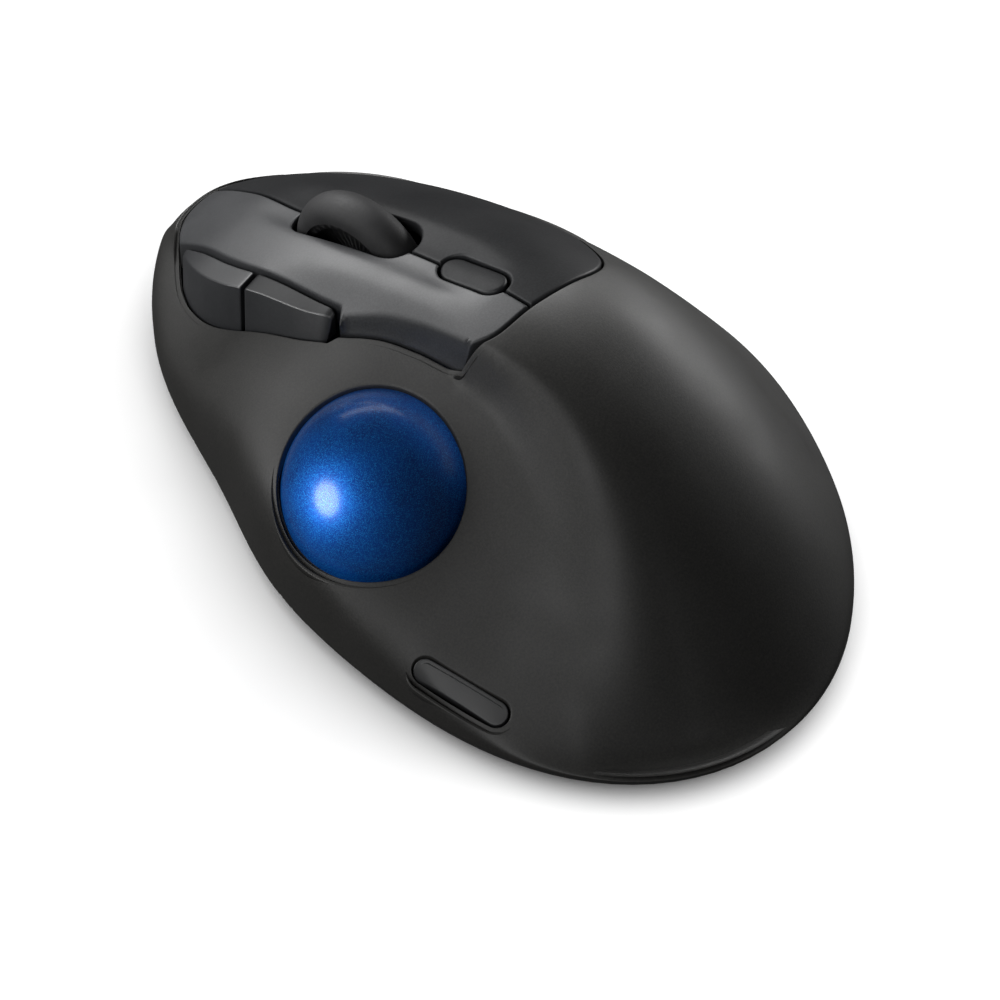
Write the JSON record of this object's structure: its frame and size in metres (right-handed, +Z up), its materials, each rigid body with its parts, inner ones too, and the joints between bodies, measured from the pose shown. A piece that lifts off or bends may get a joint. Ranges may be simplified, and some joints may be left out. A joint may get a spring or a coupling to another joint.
{
  "type": "trackball mouse",
  "caption": "Wireless thumb trackball mouse with a tilted palm hump, blue ball in an open socket, scroll wheel, click plates, side caps and a mode button.",
  "frame": {"origin": "centre of the plan box, on the desk plane under the feet", "axes": "+Y towards the click buttons and the nose, +X the finger side, -X the thumb side with the ball, +Z up"},
  "size_m": [0.0966, 0.1516, 0.051],
  "materials": {
    "case_plastic": "fine-textured charcoal black, satin",
    "button_plastic": "fine-textured charcoal black, slightly smoother than the case",
    "cap_plastic": "smooth black, semi-gloss",
    "ball_resin": "deep blue with fine metal flake under a clear gloss coat",
    "tyre_rubber": "soft matte black rubber",
    "foot_rubber": "matte black non-slip rubber",
    "inner_plastic": "moulded dark grey, matte",
    "bearing_ceramic": "polished white ceramic",
    "board": "green solder mask, satin",
    "switch_plastic": "moulded black, satin",
    "steel": "plain bright steel",
    "clear_plastic": "clear moulded plastic",
    "window_plastic": "smoked black, smooth",
    "cell_jacket": null
  },
  "bodies": {
    "housing": {"aa_cell": "cell_jacket", "back_switch": "switch_plastic", "ball_socket": "inner_plastic", "base_plate": "case_plastic", "battery_tray": "inner_plastic", "bearing_bead_1": "bearing_ceramic", "bearing_bead_2": "bearing_ceramic", "bearing_bead_3": "bearing_ceramic", "board_link": "switch_plastic", "board_screw_1": "steel", "board_screw_2": "steel", "button_board": "board", "button_deck": "inner_plastic", "case_screw_1": "steel", "case_screw_2": "steel", "case_screw_3": "steel", "case_screw_4": "steel", "foot_1": "foot_rubber", "foot_2": "foot_rubber", "foot_3": "foot_rubber", "foot_4": "foot_rubber", "foot_5": "foot_rubber", "forward_switch": "switch_plastic", "frame_bracket": "inner_plastic", "indicator_board": "board", "indicator_window": "window_plastic", "left_switch": "switch_plastic", "light_guide": "clear_plastic", "main_board": "board", "mode_switch": "switch_plastic", "optical_sensor": "switch_plastic", "pairing_switch": "switch_plastic", "plate_contact": "steel", "power_switch": "switch_plastic", "right_switch": "switch_plastic", "sensor_board": "board", "sensor_lens": "clear_plastic", "side_board": "board", "spring_contact": "steel", "top_case": "case_plastic", "usb_receiver": "switch_plastic", "wheel_switch": "switch_plastic"},
    "ball": {"trackball": "ball_resin"},
    "click_cradle": {"click_frame": "inner_plastic", "wheel_encoder": "switch_plastic"},
    "wheel": {"wheel_hub": "inner_plastic", "wheel_tyre": "tyre_rubber", "wheel_axle": "steel"},
    "left_key": {"left_button": "button_plastic"},
    "right_key": {"right_button": "button_plastic"},
    "forward_key": {"forward_button": "cap_plastic"},
    "back_key": {"back_button": "cap_plastic"},
    "mode_key": {"mode_button": "button_plastic"},
    "power_knob": {"power_slider": "tyre_rubber"},
    "pairing_key": {"pairing_button": "tyre_rubber"},
    "door": {"battery_door": "case_plastic"}
  },
  "joints": [
    {"name": "ball_spin", "type": "hinge", "parent": "housing", "child": "ball", "pos_m": [-0.02746, -0.00267, 0.0224], "axis": [1, 0, 0], "continuous": true},
    {"name": "wheel_click", "type": "hinge", "parent": "housing", "child": "click_cradle", "pos_m": [0.00017, 0.00914, 0.022], "axis": [1, 0, 0], "range_deg": [-1.5, 0], "stiffness_Nm_per_rad": 0.5, "springref_deg": 0.57},
    {"name": "wheel_spin", "type": "hinge", "parent": "click_cradle", "child": "wheel", "pos_m": [0.00017, 0.02554, 0.0349], "axis": [1, 0, 0], "continuous": true},
    {"name": "left_click", "type": "hinge", "parent": "housing", "child": "left_key", "pos_m": [-0.004, -0.00887, 0.04664], "axis": [1, 0, 0], "range_deg": [-0.6, 0], "stiffness_Nm_per_rad": 3, "springref_deg": 0.17},
    {"name": "right_click", "type": "hinge", "parent": "housing", "child": "right_key", "pos_m": [0.012, -0.00887, 0.04664], "axis": [1, 0, 0], "range_deg": [-0.6, 0], "stiffness_Nm_per_rad": 3, "springref_deg": 0.17},
    {"name": "forward_press", "type": "slide", "parent": "housing", "child": "forward_key", "axis": [0.8, 0, -0.6], "range_m": [0, 0.0005], "stiffness_N_per_m": 800, "springref_m": -0.0002},
    {"name": "back_press", "type": "slide", "parent": "housing", "child": "back_key", "axis": [0.8, 0, -0.6], "range_m": [0, 0.0005], "stiffness_N_per_m": 800, "springref_m": -0.0002},
    {"name": "mode_press", "type": "slide", "parent": "housing", "child": "mode_key", "axis": [0, 0, -1], "range_m": [0, 0.0005], "stiffness_N_per_m": 800, "springref_m": -0.0002},
    {"name": "power_slide", "type": "slide", "parent": "housing", "child": "power_knob", "axis": [1, 0, 0], "range_m": [-0.004, 0]},
    {"name": "pairing_press", "type": "slide", "parent": "housing", "child": "pairing_key", "axis": [0, 0, 1], "range_m": [0, 0.0005], "stiffness_N_per_m": 600, "springref_m": -0.0002},
    {"name": "door_pull", "type": "slide", "parent": "housing", "child": "door", "axis": [0, 0, -1], "range_m": [0, 0.012]}
  ]
}
